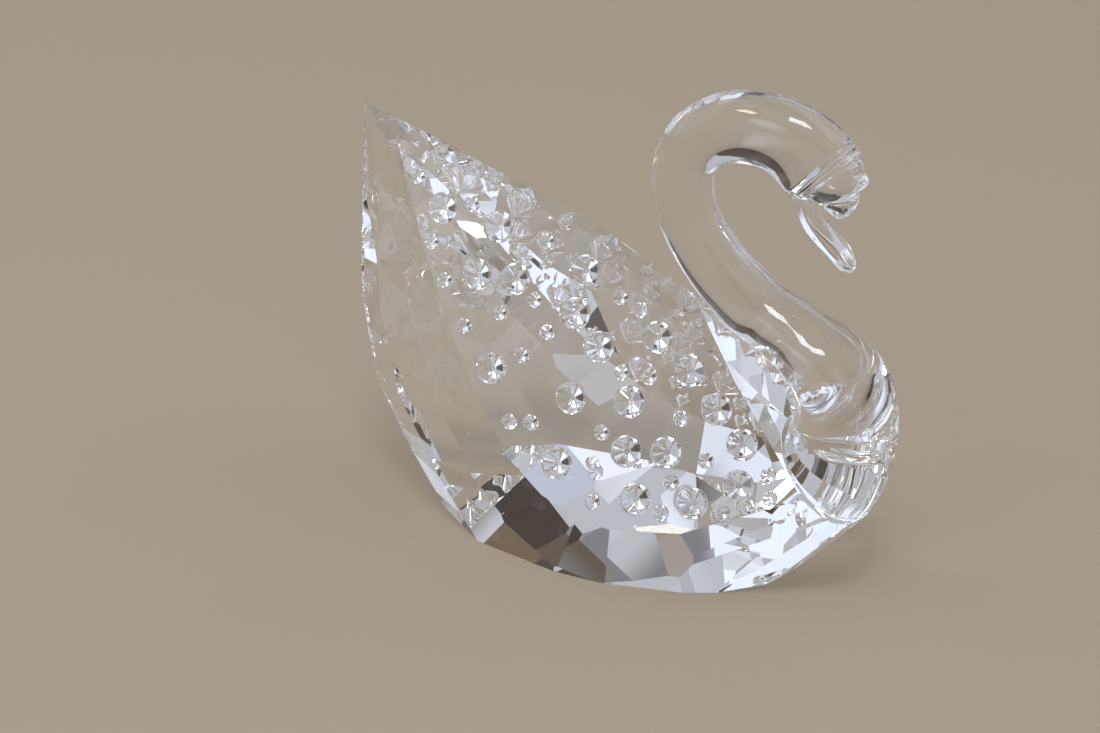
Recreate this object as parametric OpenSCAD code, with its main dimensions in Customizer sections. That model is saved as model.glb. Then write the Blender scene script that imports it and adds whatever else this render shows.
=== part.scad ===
// Crystal swan figurine: a faceted body set with small round stones, and a smooth glass neck.
// +X is the way the swan looks, +Y its left, +Z up. The origin is the centre of the base facet.

/* [Crystal body] */
// Length of the cut crystal, tail tip to chin
body_len = 62.7; // [56:0.1:76]
// Width of the cut crystal across both wings
body_w = 28.6; // [26:0.1:36]
// Height of the tail tip above the table
tail_h = 43.9; // [39:0.1:53]
// Slope of the front facet that carries the neck, degrees
front_slope = 45.3; // [42:0.1:49]

/* [Neck and head] */
// Height from the bond to the top of the neck's arch
neck_rise = 41.2; // [36:0.1:50]
// Reach of the neck, back of the S to the knob on the brow
neck_reach = 24.8; // [21:0.1:30]
// Width of the glass rod across the swan, through the S
rod_w = 6.6; // [5.5:0.1:8]
// Width of the breast across the swan at the bond
breast_w = 13.4; // [11.2:0.1:14]
// Width of the head across the swan
head_w = 6.4; // [5:0.1:8]
// Thickness of the clear adhesive between breast and front facet
bond_t = 0.15; // [0.1:0.05:0.3]

/* [Stones] */
// Diameter of a large round stone
stone_d = 3.4; // [2.8:0.05:3.7]
// Diameter of a small round stone
small_d = 1.65; // [1.3:0.05:2]
// Pavilion angle of the stones, degrees
pavilion = 42; // [38:0.5:46]
// Height of a large stone's table above the wing facet
proud = 0.14; // [0.08:0.01:0.25]
// Air gap between a stone and its seat
seat_gap = 0.05; // [0.03:0.01:0.1]
// Depth of the adhesive under a stone's culet
glue_t = 0.3; // [0.2:0.05:0.5]

/* [Hidden] */

// Sizes that the outlines below are drawn at
len0 = 62.7;
wid0 = 28.6;
hgt0 = 43.9;
rise0 = 41.2;
reach0 = 24.8;
sx = body_len / len0;
sy = body_w / wid0;
sz = tail_h / hgt0;
// The ridge's front end stands this far ahead of the base centre
ridge_x = 8.4;
big = 90;
tiny = 0.01;

function unit(v) = v / norm(v);
function mirror_y(v) = [v.x, -v.y, v.z];
function sized(p) = [(p.x + ridge_x) * sx, p.y * sy, p.z * sz];

// The wing facet: a foot point and two directions on it, forward and up the slope
wing_az = 9.8;
wing_el = 27.3;
wing_k = 14.9;
wing_n0 = [cos(wing_el) * sin(wing_az), -cos(wing_el) * cos(wing_az), sin(wing_el)];
wing_s = [cos(wing_az), sin(wing_az), 0];
wing_t = [-sin(wing_el) * sin(wing_az), sin(wing_el) * cos(wing_az), cos(wing_el)];
function on_wing0(q) = wing_n0 * wing_k + wing_s * q.x + wing_t * q.y;
function on_wing(q) = sized(on_wing0(q));
wing_n = unit(cross(
  on_wing([10, 0]) - on_wing([0, 0]),
  on_wing([0, 10]) - on_wing([0, 0])
));

// Corners of the wing facet, tail first, along its lower edge
wing_edge = [
  [-36.5, 41.5], [-32.5, 31], [-28.3, 22.5], [-23.3, 14], [-18.4, 7], [-14, 3.1],
  [-8.7, 0.7], [-4.5, 0.2], [4.8, 1.3], [11, 4.5], [15.3, 7]
];
// The body's outline on the mid plane below each of those corners
keel = [
  [-41, 44.3], [-41.4, 33], [-41.2, 22], [-39, 12], [-33, 3.5], [-25, -8],
  [-15, -16], [-7, -17], [4, -11], [12, -2], [19.5, 6]
];
// Angles at which the facet rows meet between the wing edge and the keel
rows = [0, 17, 36, 60, 90];
bulge = 0.09;
// The back ridge on the mid plane, tail first, and the slope of each strip beside it
ridge = [[-41, 44.3], [-31.1, 41.3], [-22.5, 39], [-12.5, 35.9], [0, 30]];
strip = [50, 52, 52, 48];

function hub(i) = [on_wing0(wing_edge[i]).x, 0, on_wing0(wing_edge[i]).z];
function shell(i, a) =
  let (
    c = hub(i),
    k = on_wing0(wing_edge[i]) - c,
    g = [keel[i].x, 0, keel[i].y] - c
  )
  sized(c + k * (cos(a) + bulge * sin(2 * a)) + g * sin(a));
inner = sized([-10, 0, 18]);
// A cut is [outward direction, distance from the origin]
function cut_of(n, p) = [n, n * p];
function outward(n, p) = (n * (p - inner) < 0) ? -n : n;
function row_cut(i, j) =
  let (
    a = shell(i, rows[j]),
    b = shell(i + 1, rows[j]),
    c = shell(i, rows[j + 1]),
    d = shell(i + 1, rows[j + 1]),
    mid = (a + b + c + d) / 4,
    n = outward(unit(cross(d - a, b - c)), mid)
  )
  cut_of(n, mid);
function strip_cut(i) =
  let (
    a = [ridge[i].x, 0, ridge[i].y],
    b = [ridge[i + 1].x, 0, ridge[i + 1].y],
    d = unit(b - a),
    up = [-d.z, 0, d.x],
    side = cross(d, sin(strip[i]) * up + [0, -cos(strip[i]), 0]),
    p = sized(a),
    n = unit(cross(sized(a + side) - p, sized(b) - p))
  )
  cut_of(outward(n, p), p);
near_cuts = concat(
  [[wing_n, wing_n * on_wing([0, 0])]],
  [for (i = [0:len(keel) - 2]) for (j = [0:len(rows) - 2]) row_cut(i, j)],
  [for (i = [0:3]) strip_cut(i)]
);
// The front facet runs through the foremost corner of the wing facet
wing_front = on_wing([15.3, 7]);
front_n = [sin(front_slope), 0, cos(front_slope)];
front_down = [cos(front_slope), 0, -sin(front_slope)];
front_k = front_n * [wing_front.x, 0, wing_front.z];
all_cuts = concat(
  near_cuts,
  [for (c = near_cuts) [mirror_y(c[0]), c[1]]],
  [[front_n, front_k]]
);

module beyond(c) {
  rotate([0, acos(c[0].z), atan2(c[0].y, c[0].x)])
    translate([-big, -big, c[1]])
      cube([2 * big, 2 * big, 2 * big]);
}

module cut_block(i) {
  if (i == 0) {
    translate([-big / 2, -big / 2, 0])
      cube([big, big, big]);
  } else {
    difference() {
      cut_block(i - 1);
      beyond(all_cuts[i - 1]);
    }
  }
}

// The stone pattern keeps its place between the tail and the wing facet's front edge
edge_tail = -36;
edge_s0 = 15.3;
edge_t0 = 7;
edge_lean = 0.82;
function drawn_edge(t) = edge_s0 - edge_lean * (t - edge_t0);
function over_front(q) = front_n * on_wing(q) - front_k;
function front_edge(t) =
  let (a = over_front([0, t]), b = over_front([1, t]))
  a / (a - b);
function placed(q) =
  let (r = (front_edge(q.y) - edge_tail) / (drawn_edge(q.y) - edge_tail))
  [edge_tail + (q.x - edge_tail) * r, q.y];

// Centres of the large stones on the wing facet
large_at = [
  [-9.2, 19.4], [-2.9, 21.4], [1.3, 18.4], [4.8, 14.8], [-4.9, 14.1], [-11.4, 13.5],
  [-4.4, 8.8], [0, 9.4], [-11.9, 6.3], [-2.6, 3.9], [3.7, 4.5], [8.4, 7.1],
  [8.1, 11.5], [-20.9, 15.3], [-19.7, 25.3], [-24.1, 25.2], [-12, 27.3], [-22.4, 30.6],
  [-29.1, 31.8], [-12.4, 22.6]
];
// Centres of the small stones, in three groups
small_at = [
  [
    [-6.2, 17.1], [-3.1, 17.1], [1.1, 13.2], [-7.4, 10.4], [4.5, 9.2], [-7.4, 6.1],
    [1.1, 6.3], [-7.2, 2.8]
  ],
  [
    [0.5, 2.9], [7.2, 4], [11.5, 8.7], [12, 6.4], [-15.5, 10.2], [-17.9, 9.9],
    [-17.6, 17.2], [-15.2, 20.1], [-17.1, 23.4]
  ],
  [
    [-20.8, 21.4], [-16.7, 29.8], [-5.1, 24], [-7.5, 25], [-25.8, 32.6], [-29.8, 28],
    [-27.6, 24], [-24.7, 19.4], [-32.4, 34.8]
  ]
];

// A stone stands on its culet along +Z, with the wing facet at Z = 0
function culet_r(d) = 0.09 * d;
function girdle_t(d) = 0.03 * d;
function culet_z(d) = -girdle_t(d) - (d / 2 - culet_r(d)) * tan(pavilion);
function table_h(d) = proud * d / stone_d;

module stone(d) {
  r = d / 2;
  h = table_h(d);
  difference() {
    union() {
      translate([0, 0, culet_z(d)])
        cylinder(h = -culet_z(d), r = r, $fn = 64);
      cylinder(h = h, r1 = r, r2 = 0.86 * r, $fn = 64);
    }
    for (a = [0:45:315]) {
      rotate([0, 0, a])
        translate([r, 0, -girdle_t(d)])
          rotate([0, 90 - pavilion, 0])
            translate([0, -d, -2 * d])
              cube([2 * d, 2 * d, 4 * d]);
    }
  }
}

module seat(d) {
  r = d / 2;
  corner = r * (1 - cos(22.5)) * tan(pavilion);
  shoulder = girdle_t(d) + corner;
  foot_r = culet_r(d) / cos(22.5) + seat_gap;
  translate([0, 0, -shoulder])
    cylinder(h = shoulder + 1, r = r + seat_gap, $fn = 64);
  translate([0, 0, culet_z(d)])
    cylinder(h = -culet_z(d) - shoulder, r1 = foot_r, r2 = r + seat_gap, $fn = 64);
  translate([0, 0, culet_z(d) - glue_t])
    cylinder(h = glue_t, r = foot_r, $fn = 32);
}

module glue_dot(d) {
  foot_r = culet_r(d) / cos(22.5) + seat_gap;
  translate([0, 0, culet_z(d) - glue_t])
    cylinder(h = glue_t, r = foot_r, $fn = 32);
}

// Puts a child on the right wing at q, and on the left one by mirroring
module on_facet(q, turn) {
  p = on_wing(placed(q));
  translate(p)
    rotate([0, acos(wing_n.z), atan2(wing_n.y, wing_n.x)])
      rotate([0, 0, turn])
        children();
}

module side(left) {
  if (left) {
    mirror([0, 1, 0])
      children();
  } else {
    children();
  }
}

// Stones are set by hand, so each is turned a little differently
function turn_of(i) = (i * 17) % 45;

module large_stone(i, left) {
  side(left)
    on_facet(large_at[i - 1], turn_of(i))
      stone(stone_d);
}

module small_stones(g, left) {
  side(left)
    for (i = [0:len(small_at[g - 1]) - 1]) {
      on_facet(small_at[g - 1][i], turn_of(i + 3))
        stone(small_d);
    }
}

module seats() {
  for (q = large_at) {
    on_facet(q, 0)
      seat(stone_d);
  }
  for (g = small_at) {
    for (q = g) {
      on_facet(q, 0)
        seat(small_d);
    }
  }
}

module large_glue(left) {
  side(left)
    for (q = large_at) {
      on_facet(q, 0)
        glue_dot(stone_d);
    }
}

module small_glue(left) {
  side(left)
    for (g = small_at) {
      for (q = g) {
        on_facet(q, 0)
          glue_dot(small_d);
      }
    }
}

module body() {
  color([0.93, 0.95, 0.97])
    difference() {
      cut_block(len(all_cuts));
      seats();
      mirror([0, 1, 0])
        seats();
    }
}

// The neck is drawn in pairs of points on the mid plane, back and front of each section,
// measured from the bond's centre. Each row is [back x, back z, front x, front z].
swan_s = [
  [-4.7, 4.7, 4.7, -4.7], [-4.4, 5, 6, -2.4], [-3.9, 5.5, 7, 1], [-3.4, 6.3, 7.4, 5],
  [-3.1, 7.3, 7.1, 8.4], [-3.3, 8.6, 6.1, 11.4], [-4.1, 9.8, 4.2, 13.9], [-5.4, 11, 1.6, 15.8],
  [-7, 12, -1.2, 16.8], [-9, 13, -3.8, 18.2], [-11.1, 13.8, -6.5, 19.4],
  [-13.8, 15.9, -8.8, 21.1], [-15.9, 17.9, -10.7, 22.7], [-18, 20.6, -12.4, 24.7],
  [-19.6, 23.4, -13.7, 26.3], [-20.6, 26.2, -14.3, 28.1], [-21.1, 29, -14.5, 29.7],
  [-20.9, 32, -14.2, 31.2], [-20.1, 34.4, -13.6, 31.9], [-18.8, 36.6, -12.9, 32.4],
  [-16.9, 38.4, -12, 32.8], [-14.7, 39.8, -11.1, 33.1], [-12.2, 40.8, -10.1, 33.3],
  [-9.5, 41.2, -9.1, 33.3], [-6.9, 41.1, -8.1, 33.1], [-4.3, 40.7, -7.2, 32.7],
  [-1.9, 39.8, -6.3, 32], [0.2, 38.6, -5.6, 31.2], [1.8, 37.3, -5, 30.3]
];
// The face: brow, knob and the rounded cheek that hangs over the beak
face = [
  [2.7, 35.7, -4.5, 29.5], [3.2, 34.4, -4.2, 28.9], [3.7, 33.6, -3.9, 28.5], [3.3, 32.6, -3.7, 28.1],
  [2.7, 31.3, -3.5, 27.8], [2.1, 29.9, -3.1, 27.6], [1.3, 28.9, -2.3, 27.8], [0.2, 28.6, -1.2, 28.1]
];
// Width across the swan of the sections of the S and the face, as a share of their own sizes
s_width = [
  1, 0.99, 0.97, 0.94, 0.9, 0.85, 0.79, 0.72, 0.66, 0.6, 0.56, 0.53, 0.51, 0.5, 0.5, 0.5, 0.5,
  0.5, 0.5, 0.5, 0.505, 0.51, 0.52, 0.525, 0.53, 0.53, 0.52, 0.51, 0.5
];
face_width = [0.96, 0.9, 0.84, 0.8, 0.72, 0.62, 0.46, 0.2];
// The beak starts inside the head and ends in a blunt tip
beak = [
  [-1.8, 33.6, -4.6, 29.6], [-1.4, 31.6, -4.5, 29], [-1.2, 30.2, -4, 28.2], [-0.7, 28.9, -3.4, 27.3],
  [0.2, 27.7, -2.6, 26], [1.1, 26.9, -1.5, 24.9], [1.9, 26.3, -0.5, 24.1], [2.6, 25.4, 0.6, 23.3],
  [3.1, 24.4, 1.6, 22.8], [3.3, 23.6, 2.4, 22.6]
];
beak_width = [0.2, 0.5, 0.6, 0.56, 0.52, 0.5, 0.5, 0.47, 0.38, 0.22];

neck_x = neck_reach / reach0;
neck_z = neck_rise / rise0;
// Centre of the bond on the front facet, a set way below the wing's front corner
bond_mid = wing_front - [0, wing_front.y, 0] + front_down * -0.4;
around = 28;

// A section through two mid-plane points, half as wide across the swan as w says.
// round_p above 2 squares it a little, as pressed glass is.
function section(q, w, flat) =
  let (
    a = [q[0] * neck_x, 0, q[1] * neck_z],
    b = [q[2] * neck_x, 0, q[3] * neck_z],
    c = (a + b) / 2,
    r = (a - b) / 2
  )
  [for (k = [0:around - 1])
    let (
      t = 360 * k / around,
      p = bond_mid + c + r * cos(t) + [0, w / 2 * sin(t), 0]
    )
    flat ? p - front_n * (front_n * p - front_k - bond_t) : p
  ];

module skin(rings) {
  n = len(rings);
  pts = [for (r = rings) for (p = r) p];
  walls = [
    for (i = [0:n - 2])
      for (k = [0:around - 1])
        let (a = i * around + k, b = i * around + (k + 1) % around)
        each [[a, b, b + around], [a, b + around, a + around]]
  ];
  first = [for (k = [0:around - 1]) around - 1 - k];
  last = [for (k = [0:around - 1]) (n - 1) * around + k];
  polyhedron(points = pts, faces = concat([first], walls, [last]));
}

s_rings = [
  for (i = [0:len(swan_s) - 1])
    section(swan_s[i], s_width[i] * (i < 12 ? breast_w : 2 * rod_w), i == 0)
];
face_rings = [
  for (i = [0:len(face) - 1])
    section(face[i], face_width[i] * head_w, false)
];
beak_rings = [
  for (i = [0:len(beak) - 1])
    section(beak[i], beak_width[i] * head_w, false)
];

module neck_and_head() {
  color([0.95, 0.96, 0.97])
    union() {
      skin(concat(s_rings, face_rings));
      skin(beak_rings);
    }
}

// Clear adhesive on the front facet, under the whole flat of the breast
module neck_bond() {
  color([0.9, 0.95, 1])
    skin([
      [for (p = s_rings[0]) p - front_n * bond_t],
      s_rings[0]
    ]);
}

body();
neck_and_head();
neck_bond();
for (i = [1:20]) {
  large_stone(i, true);
  large_stone(i, false);
}
for (i = [1:3]) {
  small_stones(i, true);
  small_stones(i, false);
}
large_glue(true);  // stone_glue_left
large_glue(false);  // stone_glue_right
small_glue(true);  // small_glue_left
small_glue(false);  // small_glue_right
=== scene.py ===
import math

import bmesh
import bpy
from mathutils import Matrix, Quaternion, Vector


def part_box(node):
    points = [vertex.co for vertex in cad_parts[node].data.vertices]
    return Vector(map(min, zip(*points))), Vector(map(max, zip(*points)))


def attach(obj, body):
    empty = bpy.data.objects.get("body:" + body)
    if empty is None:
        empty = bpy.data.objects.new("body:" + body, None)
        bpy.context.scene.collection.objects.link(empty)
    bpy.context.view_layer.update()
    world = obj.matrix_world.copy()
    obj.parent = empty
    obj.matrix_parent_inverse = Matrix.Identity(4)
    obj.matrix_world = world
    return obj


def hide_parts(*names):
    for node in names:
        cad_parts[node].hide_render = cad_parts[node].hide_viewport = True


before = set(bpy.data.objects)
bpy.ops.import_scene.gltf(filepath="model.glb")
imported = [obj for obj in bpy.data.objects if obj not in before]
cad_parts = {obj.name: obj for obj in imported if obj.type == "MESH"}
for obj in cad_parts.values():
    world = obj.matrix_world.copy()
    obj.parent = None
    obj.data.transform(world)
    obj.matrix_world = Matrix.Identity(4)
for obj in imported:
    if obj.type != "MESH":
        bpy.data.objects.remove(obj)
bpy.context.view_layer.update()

MM = 0.001
FLOOR_COLOUR = (0.44, 0.355, 0.262, 1)
FLOOR_SIZE = 6
FLOOR_GAP = 0.00002
# Light that enters cut crystal is thrown about inside it many times before it leaves
BOUNCES = 40
CLEAR_LAYERS = 24
# Faces under this size are shaded round, as drilled walls are. Those on a cut facet lie in
# its plane, so it still looks flat.
ROUND_FACE_SIZE = 0.6 * MM * MM
ROUND_ANGLE = math.radians(32)

# The face the swan stands on is at Z = 0, +X is the way it looks.
FRONT_SLOPE = math.radians(45.3)
BOND_THICKNESS = 0.15
BREAST_WIDTH = 13.4
ROD_WIDTH = 6.6
HEAD_WIDTH = 6.4

# Sections of the neck on the mid plane: back x, z and front x, z in millimetres,
# measured from the middle of the bond, with each section's width as a share.
NECK_SECTIONS = [
    (-4.7, 4.7, 4.7, -4.7, 1.0), (-4.4, 5, 6, -2.4, 0.99), (-3.9, 5.5, 7, 1, 0.97),
    (-3.4, 6.3, 7.4, 5, 0.94), (-3.1, 7.3, 7.1, 8.4, 0.9), (-3.3, 8.6, 6.1, 11.4, 0.85),
    (-4.1, 9.8, 4.2, 13.9, 0.79), (-5.4, 11, 1.6, 15.8, 0.72), (-7, 12, -1.2, 16.8, 0.66),
    (-9, 13, -3.8, 18.2, 0.6), (-11.1, 13.8, -6.5, 19.4, 0.56), (-13.8, 15.9, -8.8, 21.1, 0.53),
    (-15.9, 17.9, -10.7, 22.7, 0.51), (-18, 20.6, -12.4, 24.7, 0.5),
    (-19.6, 23.4, -13.7, 26.3, 0.5), (-20.6, 26.2, -14.3, 28.1, 0.5),
    (-21.1, 29, -14.5, 29.7, 0.5), (-20.9, 32, -14.2, 31.2, 0.5),
    (-20.1, 34.4, -13.6, 31.9, 0.5), (-18.8, 36.6, -12.9, 32.4, 0.5),
    (-16.9, 38.4, -12, 32.8, 0.505), (-14.7, 39.8, -11.1, 33.1, 0.51),
    (-12.2, 40.8, -10.1, 33.3, 0.52), (-9.5, 41.16, -9.1, 33.3, 0.525),
    (-6.9, 41.1, -8.1, 33.1, 0.53), (-4.3, 40.7, -7.2, 32.7, 0.53),
    (-1.9, 39.8, -6.3, 32, 0.52), (0.1, 38.6, -5.6, 31.2, 0.51), (0.75, 38.1, -5.35, 30.8, 0.505),
]
FACE_SECTIONS = [
    (1.0, 37.9, -5.25, 30.65, 0.47), (1.25, 37.45, -5.1, 30.5, 0.4),
    (1.65, 37.6, -4.95, 30.45, 0.43),
    (1.8, 36.95, -4.7, 30.45, 0.4), (2.2, 36.8, -4.4, 30.5, 0.42), (2.3, 36.1, -4.1, 30.55, 0.39),
    (2.6, 35.3, -3.7, 30.6, 0.4), (2.8, 34.5, -3.2, 30.7, 0.39), (3.25, 33.7, -2.7, 30.75, 0.37),
    (3.0, 33.1, -2.2, 30.7, 0.34), (2.45, 32.5, -1.7, 30.5, 0.31), (2.2, 31.8, -1.1, 30.2, 0.3),
    (2.15, 31.1, -0.5, 29.85, 0.28), (1.9, 30.4, 0.05, 29.5, 0.22), (1.4, 29.8, 0.5, 29.3, 0.12),
]
BEAK_SECTIONS = [
    (-2.6, 32.6, -4.7, 30.6, 0.1), (-2.5, 31.4, -4.6, 29.9, 0.2), (-2.3, 30.3, -4.2, 28.8, 0.24),
    (-1.9, 29.1, -3.6, 27.6, 0.24), (-1.1, 28.2, -2.8, 26.6, 0.23), (-0.1, 27.5, -1.9, 25.7, 0.22),
    (0.9, 26.7, -0.9, 24.8, 0.21), (1.6, 25.7, 0.1, 24, 0.19), (2.1, 24.8, 1, 23.4, 0.15),
    (2.3, 24, 1.9, 23.3, 0.08),
]


def group_input(group, name, kind, value=None):
    """Adds an input socket to a shader node group."""
    socket = group.interface.new_socket(name=name, in_out="INPUT", socket_type=kind)
    if value is not None:
        socket.default_value = value
    return socket


def polish_group():
    """Faint polishing marks: a roughness mask and a gentle swell for the normal."""
    group = bpy.data.node_groups.new("PolishMarks", "ShaderNodeTree")
    group_input(group, "Scale", "NodeSocketFloat", 900.0)
    group_input(group, "Smooth", "NodeSocketFloat", 0.004)
    group_input(group, "Dull", "NodeSocketFloat", 0.03)
    group_input(group, "Swell Scale", "NodeSocketFloat", 60.0)
    group.interface.new_socket(name="Roughness", in_out="OUTPUT", socket_type="NodeSocketFloat")
    group.interface.new_socket(name="Swell", in_out="OUTPUT", socket_type="NodeSocketFloat")
    nodes, links = group.nodes, group.links
    enter = nodes.new("NodeGroupInput")
    leave = nodes.new("NodeGroupOutput")
    place = nodes.new("ShaderNodeTexCoord")
    marks = nodes.new("ShaderNodeTexNoise")
    marks.inputs["Detail"].default_value = 4.0
    marks.inputs["Roughness"].default_value = 0.6
    ramp = nodes.new("ShaderNodeMapRange")
    ramp.inputs["From Min"].default_value = 0.55
    ramp.inputs["From Max"].default_value = 0.8
    swell = nodes.new("ShaderNodeTexNoise")
    swell.inputs["Detail"].default_value = 1.0
    links.new(place.outputs["Object"], marks.inputs["Vector"])
    links.new(place.outputs["Object"], swell.inputs["Vector"])
    links.new(enter.outputs["Scale"], marks.inputs["Scale"])
    links.new(enter.outputs["Swell Scale"], swell.inputs["Scale"])
    links.new(marks.outputs["Fac"], ramp.inputs["Value"])
    links.new(enter.outputs["Smooth"], ramp.inputs["To Min"])
    links.new(enter.outputs["Dull"], ramp.inputs["To Max"])
    links.new(ramp.outputs["Result"], leave.inputs["Roughness"])
    links.new(swell.outputs["Fac"], leave.inputs["Swell"])
    return group


POLISH = polish_group()


def clear_glass(name, tint, ior, smooth, dull, swell_scale, swell_height, shadow_share):
    """Clear polished glass that lets most lamp light through to what is behind it."""
    material = bpy.data.materials.new(name)
    material.use_nodes = True
    nodes, links = material.node_tree.nodes, material.node_tree.links
    glass = nodes["Principled BSDF"]
    glass.inputs["Base Color"].default_value = (*tint, 1.0)
    glass.inputs["Transmission Weight"].default_value = 1.0
    glass.inputs["IOR"].default_value = ior
    glass.inputs["Metallic"].default_value = 0.0
    glass.inputs["Roughness"].default_value = smooth
    if dull > smooth:
        marks = nodes.new("ShaderNodeGroup")
        marks.node_tree = POLISH
        marks.inputs["Smooth"].default_value = smooth
        marks.inputs["Dull"].default_value = dull
        marks.inputs["Swell Scale"].default_value = swell_scale
        links.new(marks.outputs["Roughness"], glass.inputs["Roughness"])
    if swell_height:
        bump = nodes.new("ShaderNodeBump")
        bump.inputs["Strength"].default_value = 1.0
        bump.inputs["Distance"].default_value = swell_height
        links.new(marks.outputs["Swell"], bump.inputs["Height"])
        links.new(bump.outputs["Normal"], glass.inputs["Normal"])
    paths = nodes.new("ShaderNodeLightPath")
    share = nodes.new("ShaderNodeMath")
    share.operation = "MULTIPLY"
    share.inputs[1].default_value = shadow_share
    clear = nodes.new("ShaderNodeBsdfTransparent")
    mix = nodes.new("ShaderNodeMixShader")
    links.new(paths.outputs["Is Shadow Ray"], share.inputs[0])
    links.new(share.outputs[0], mix.inputs["Fac"])
    links.new(glass.outputs["BSDF"], mix.inputs[1])
    links.new(clear.outputs["BSDF"], mix.inputs[2])
    links.new(mix.outputs["Shader"], nodes["Material Output"].inputs["Surface"])
    return material


CRYSTAL = clear_glass("cut_crystal", (0.99, 0.995, 1.0), 1.56, 0.0, 0.0, 60, 0.0, 0.5)
BONDED_FACET = clear_glass("bonded_facet", (1.0, 1.0, 1.0), 1.04, 0.0, 0.0, 60, 0.0, 0.8)
NECK_GLASS = clear_glass("drawn_glass", (0.99, 0.995, 1.0), 1.5, 0.0, 0.004, 220, 0.00003, 0.8)
CONTACT = clear_glass("glass_contact", (1.0, 1.0, 1.0), 1.0, 0.0, 0.0, 60, 0.0, 0.9)
STONE = clear_glass("cut_stone", (0.99, 0.99, 1.0), 1.58, 0.0, 0.004, 60, 0.0, 0.8)
BOND = clear_glass("clear_bond", (0.97, 0.99, 1.0), 1.5, 0.01, 0.04, 60, 0.0, 0.9)
ADHESIVE = clear_glass("stone_adhesive", (0.98, 0.97, 0.94), 1.48, 0.03, 0.1, 60, 0.0, 0.9)

FRONT_NORMAL = Vector((math.sin(FRONT_SLOPE), 0, math.cos(FRONT_SLOPE)))


def dress(node, material):
    """Gives every slot of a CAD node one material."""
    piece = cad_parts[node]
    if not piece.material_slots:
        piece.data.materials.append(material)
    for slot in piece.material_slots:
        slot.material = material


def bond_middle():
    """Middle of the bond where it meets the front facet, in millimetres."""
    low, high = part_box("neck_bond")
    middle = (Vector(low) + Vector(high)) / (2 * MM)
    return middle - FRONT_NORMAL * BOND_THICKNESS / 2


def onto_front(point, height):
    """Drops a point along the facet's normal to a height above the front facet."""
    over = (point - bond_middle()).dot(FRONT_NORMAL)
    return point + FRONT_NORMAL * (height - over)


def section_ring(row, width, groove, around):
    """One closed section through two mid-plane points; groove pinches its sides in."""
    middle = bond_middle()
    back = Vector((row[0], 0, row[1]))
    front = Vector((row[2], 0, row[3]))
    centre, reach = (back + front) / 2, (back - front) / 2
    ring = []
    for k in range(around):
        turn = 2 * math.pi * k / around
        pinch = 1 - groove * math.exp(-((math.cos(turn) / 0.4) ** 2))
        side = Vector((0, width / 2 * math.sin(turn) * pinch, 0))
        ring.append(middle + centre + reach * math.cos(turn) + side)
    return ring


def flowing(rows, steps):
    """Rows with smooth in-between rows, passing through every given one."""
    result = []
    last = len(rows) - 1
    for i in range(last):
        a, b = rows[max(i - 1, 0)], rows[i]
        c, d = rows[i + 1], rows[min(i + 2, last)]
        for step in range(steps):
            t = step / steps
            result.append(tuple(
                0.5 * (2 * q + (r - p) * t + (2 * p - 5 * q + 4 * r - s) * t * t
                       + (3 * q - p - 3 * r + s) * t * t * t)
                for p, q, r, s in zip(a, b, c, d)
            ))
    result.append(tuple(rows[-1]))
    return result


def skin_rings(name, rings, materials, first_cap=0, wall=0, last_cap=0):
    """A closed mesh over rings of equal count, in metres."""
    mesh = bpy.data.meshes.new(name)
    around = len(rings[0])
    points = [tuple(p * MM) for ring in rings for p in ring]
    faces, kinds = [tuple(reversed(range(around)))], [first_cap]
    for i in range(len(rings) - 1):
        for k in range(around):
            a, b = i * around + k, i * around + (k + 1) % around
            faces.append((a, b, b + around, a + around))
            kinds.append(wall)
    start = (len(rings) - 1) * around
    faces.append(tuple(start + k for k in range(around)))
    kinds.append(last_cap)
    mesh.from_pydata(points, [], faces)
    for material in materials:
        mesh.materials.append(material)
    for face, kind in zip(mesh.polygons, kinds):
        face.material_index = kind
        face.use_smooth = kind == wall
    work = bmesh.new()
    work.from_mesh(mesh)
    bmesh.ops.recalc_face_normals(work, faces=work.faces)
    work.to_mesh(mesh)
    work.free()
    piece = bpy.data.objects.new(name, mesh)
    bpy.context.collection.objects.link(piece)
    return piece


def combine(piece, other, operation):
    """Applies an exact boolean of other to piece, then removes other."""
    step = piece.modifiers.new("cut", "BOOLEAN")
    step.operation = operation
    step.solver = "EXACT"
    step.object = other
    deps = bpy.context.evaluated_depsgraph_get()
    mesh = bpy.data.meshes.new_from_object(piece.evaluated_get(deps))
    piece.modifiers.clear()
    piece.data = mesh
    bpy.data.objects.remove(other, do_unlink=True)


def draw_neck():
    """The smooth neck, its pinched face and its beak, as one piece of glass."""
    around = 96
    rows = []
    for i, row in enumerate(NECK_SECTIONS):
        rows.append((*row[:4], row[4] * (BREAST_WIDTH if i < 12 else 2 * ROD_WIDTH)))
    for row in FACE_SECTIONS:
        rows.append((*row[:4], row[4] * 2 * HEAD_WIDTH))
    rings = [section_ring(row, row[4], 0, around) for row in flowing(rows, 6)]
    rings[0] = [onto_front(p, BOND_THICKNESS) for p in rings[0]]
    neck = skin_rings("glass_neck", rings, [NECK_GLASS, CONTACT], first_cap=1)
    rows = [(*row[:4], row[4] * 2 * HEAD_WIDTH) for row in BEAK_SECTIONS]
    rings = [section_ring(row, row[4], 0.42, 64) for row in flowing(rows, 6)]
    beak = skin_rings("beak", rings, [NECK_GLASS, CONTACT])
    combine(neck, beak, "UNION")
    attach(neck, "root")
    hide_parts("neck_and_head")
    return neck


def bond_ring(height, around=96):
    """The outline of the bond at a height above the front facet."""
    row = NECK_SECTIONS[0]
    return [onto_front(p, height) for p in section_ring(row, BREAST_WIDTH, 0, around)]


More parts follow.
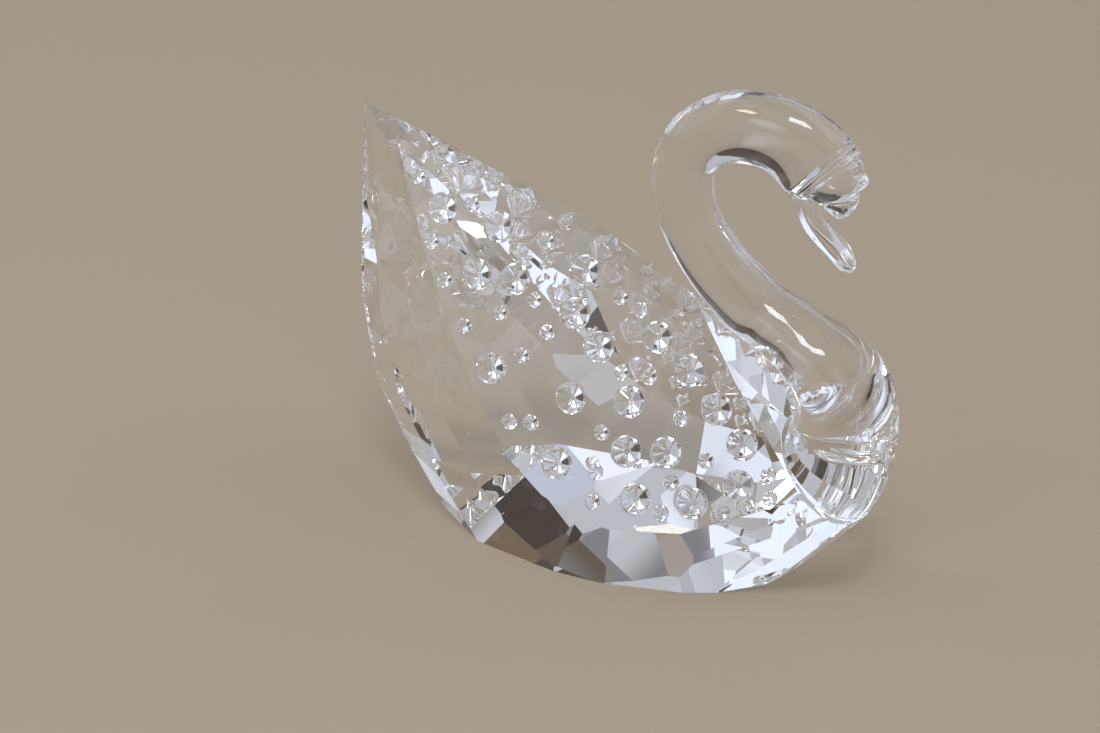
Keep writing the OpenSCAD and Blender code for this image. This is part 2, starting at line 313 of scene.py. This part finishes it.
def spread_bond():
    """Clear adhesive under the breast: glass contact above and below, a bright rim round it."""
    rings = [bond_ring(0.0), bond_ring(BOND_THICKNESS)]
    bond = skin_rings("breast_bond", rings, [CONTACT, BOND], first_cap=0, wall=1, last_cap=0)
    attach(bond, "root")
    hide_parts("neck_bond")


def round_seats(mesh):
    """Shades the small drilled walls as round and keeps every cut facet flat."""
    work = bmesh.new()
    work.from_mesh(mesh)
    for face in work.faces:
        face.smooth = face.calc_area() < ROUND_FACE_SIZE
    for edge in work.edges:
        flat = any(not face.smooth for face in edge.link_faces)
        edge.smooth = not flat and edge.calc_face_angle(0) < ROUND_ANGLE
    work.to_mesh(mesh)
    work.free()


def cut_body():
    """The faceted crystal, with the part of its front facet that is bonded to the breast."""
    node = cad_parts["body"]
    mesh = node.data.copy()
    mesh.materials.clear()
    mesh.materials.append(CRYSTAL)
    mesh.materials.append(BONDED_FACET)
    body = bpy.data.objects.new("crystal_body", mesh)
    bpy.context.collection.objects.link(body)
    for face in mesh.polygons:
        face.material_index = 0
    rings = [bond_ring(-0.002), bond_ring(0.3)]
    cutter = skin_rings("bond_mark", rings, [CRYSTAL, BONDED_FACET], 1, 1, 1)
    combine(body, cutter, "DIFFERENCE")
    round_seats(body.data)
    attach(body, "root")
    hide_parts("body")


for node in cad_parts:
    if "glue" in node:
        dress(node, ADHESIVE)
    elif "stone" in node:
        dress(node, STONE)
draw_neck()
spread_bond()
cut_body()


def lay_floor():
    """A plain pale floor that runs out of view."""
    bpy.ops.mesh.primitive_plane_add(size=FLOOR_SIZE, location=(0, 0, -FLOOR_GAP))
    floor = bpy.context.object
    floor.name = "floor"
    material = bpy.data.materials.new("pale_floor")
    material.use_nodes = True
    paint = material.node_tree.nodes["Principled BSDF"]
    paint.inputs["Base Color"].default_value = FLOOR_COLOUR
    paint.inputs["Roughness"].default_value = 0.85
    floor.data.materials.append(material)


# Soft areas of the room, the later ones over the earlier: azimuth, elevation and half angle
# in degrees, then colour. Azimuth 0 is toward -Y and 90 toward +X.
ROOM_AREAS = [
    (200, 4, 17, (0.06, 0.04, 0.03)), (172, 4, 14, (0.09, 0.065, 0.05)),
    (190, 44, 9, (0.85, 0.9, 1.0)), (178, 26, 9, (0.6, 0.63, 0.7)),
    (192, 28, 5, (0.16, 0.12, 0.08)),
    (199, 36, 6, (0.05, 0.04, 0.035)), (205, 27, 5, (0.1, 0.075, 0.05)),
    (213, 30, 5, (0.2, 0.2, 0.21)), (221, 25, 5, (0.5, 0.52, 0.56)),
    (220, 36, 6, (0.55, 0.58, 0.65)),
    (228, 31, 5, (0.3, 0.25, 0.2)), (232, 20, 6, (0.42, 0.44, 0.48)),
    (245, 34, 7.5, (0.08, 0.06, 0.07)), (238, 42, 6, (0.3, 0.3, 0.33)),
    (248, 23, 6, (0.22, 0.17, 0.3)),
    (256, 8, 15, (0.9, 0.97, 1.12)), (237, 52, 6, (0.14, 0.11, 0.08)),
    (220, 62, 9, (0.5, 0.55, 0.65)), (258, 40, 6, (0.85, 0.86, 0.84)),
    (292, 20, 16, (0.95, 1.03, 1.2)), (280, 52, 14, (0.75, 0.8, 0.9)),
    (345, 62, 12, (0.9, 0.95, 1.05)), (342, 31, 11, (1.0, 1.05, 1.15)),
    (341, 32, 8.5, (1.8, 1.9, 2.1)), (340, 33, 6, (2.8, 3.0, 3.3)),
    (8, 36, 9, (0.08, 0.06, 0.05)), (50, 42, 9, (0.95, 1.0, 1.1)),
    (30, 26, 12, (0.06, 0.045, 0.04)), (70, 35, 12, (0.25, 0.22, 0.2)),
    (120, 40, 18, (0.9, 1.0, 1.2)), (90, 15, 12, (0.1, 0.08, 0.07)),
    (140, 15, 12, (0.9, 0.95, 1.1)),
]
ROOM_COLOUR = (0.49, 0.505, 0.54)


# Places of a colour Mix node's own sockets
MIX_SHARE, MIX_UNDER, MIX_OVER, MIX_RESULT = 0, 6, 7, 2
# How far past its half angle a room area fades out
SOFT_EDGE = 1.15
PANE_DISTANCE = 0.9
PANE_HEIGHT = 0.03


def toward(azimuth, elevation):
    """Unit vector from the swan toward an azimuth and elevation in degrees."""
    a, e = math.radians(azimuth), math.radians(elevation)
    return Vector((math.sin(a) * math.cos(e), -math.cos(a) * math.cos(e), math.sin(e)))


def hang_light(name, azimuth, elevation, size, watts, colour):
    """A soft rectangular light that faces the swan."""
    data = bpy.data.lights.new(name, "AREA")
    data.shape = "RECTANGLE"
    data.size, data.size_y = size
    data.energy = watts
    data.color = colour
    lamp = bpy.data.objects.new(name, data)
    bpy.context.collection.objects.link(lamp)
    back = toward(azimuth, elevation)
    lamp.location = Vector((0, 0, PANE_HEIGHT)) + back * PANE_DISTANCE
    lamp.rotation_euler = (-back).to_track_quat("-Z", "Y").to_euler()


def light_room():
    """Even studio light: a plain room of soft pale and dark areas, and three small panes."""
    world = bpy.data.worlds.new("studio")
    bpy.context.scene.world = world
    world.use_nodes = True
    nodes, links = world.node_tree.nodes, world.node_tree.links
    sky = nodes["Background"]
    place = nodes.new("ShaderNodeTexCoord")
    base = nodes.new("ShaderNodeRGB")
    base.outputs[0].default_value = (*ROOM_COLOUR, 1)
    colour = base.outputs[0]
    for azimuth, elevation, half, shade in ROOM_AREAS:
        dot = nodes.new("ShaderNodeVectorMath")
        dot.operation = "DOT_PRODUCT"
        dot.inputs[1].default_value = toward(azimuth, elevation)
        links.new(place.outputs["Generated"], dot.inputs[0])
        edge = nodes.new("ShaderNodeMapRange")
        edge.interpolation_type = "SMOOTHSTEP"
        edge.inputs["From Min"].default_value = math.cos(math.radians(half * SOFT_EDGE))
        edge.inputs["From Max"].default_value = math.cos(math.radians(half))
        links.new(dot.outputs["Value"], edge.inputs["Value"])
        mix = nodes.new("ShaderNodeMix")
        mix.data_type = "RGBA"
        mix.inputs[MIX_OVER].default_value = (*shade, 1)
        links.new(edge.outputs["Result"], mix.inputs[MIX_SHARE])
        links.new(colour, mix.inputs[MIX_UNDER])
        colour = mix.outputs[MIX_RESULT]
    links.new(colour, sky.inputs["Color"])
    hang_light("window_left_pane", 10, 69, (0.14, 0.2), 1.2, (0.9, 0.95, 1.0))
    hang_light("window_right_pane", 32, 69, (0.14, 0.2), 1.2, (0.9, 0.95, 1.0))
    hang_light("warm_pane", 318, 50, (0.14, 0.12), 0.6, (1.0, 0.88, 0.72))


CAMERA_ROLL = math.radians(-0.65)


def set_camera():
    """Looks down at the swan's right side and a little from the front."""
    data = bpy.data.cameras.new("camera")
    data.lens = 101.16
    data.sensor_width = 36
    data.clip_start = 0.01
    data.clip_end = 20
    camera = bpy.data.objects.new("camera", data)
    bpy.context.collection.objects.link(camera)
    camera.location = (0.14238, -0.26382, 0.17749)
    aim = Vector((-0.00924, 0, 0.01661))
    view = (aim - camera.location).to_track_quat("-Z", "Y")
    camera.rotation_euler = (view @ Quaternion((0, 0, 1), CAMERA_ROLL)).to_euler()
    bpy.context.scene.camera = camera


lay_floor()
light_room()
set_camera()
bpy.context.scene.view_settings.view_transform = "Standard"
paths = bpy.context.scene.cycles
paths.max_bounces = BOUNCES
paths.glossy_bounces = BOUNCES
paths.transmission_bounces = BOUNCES
paths.transparent_max_bounces = CLEAR_LAYERS
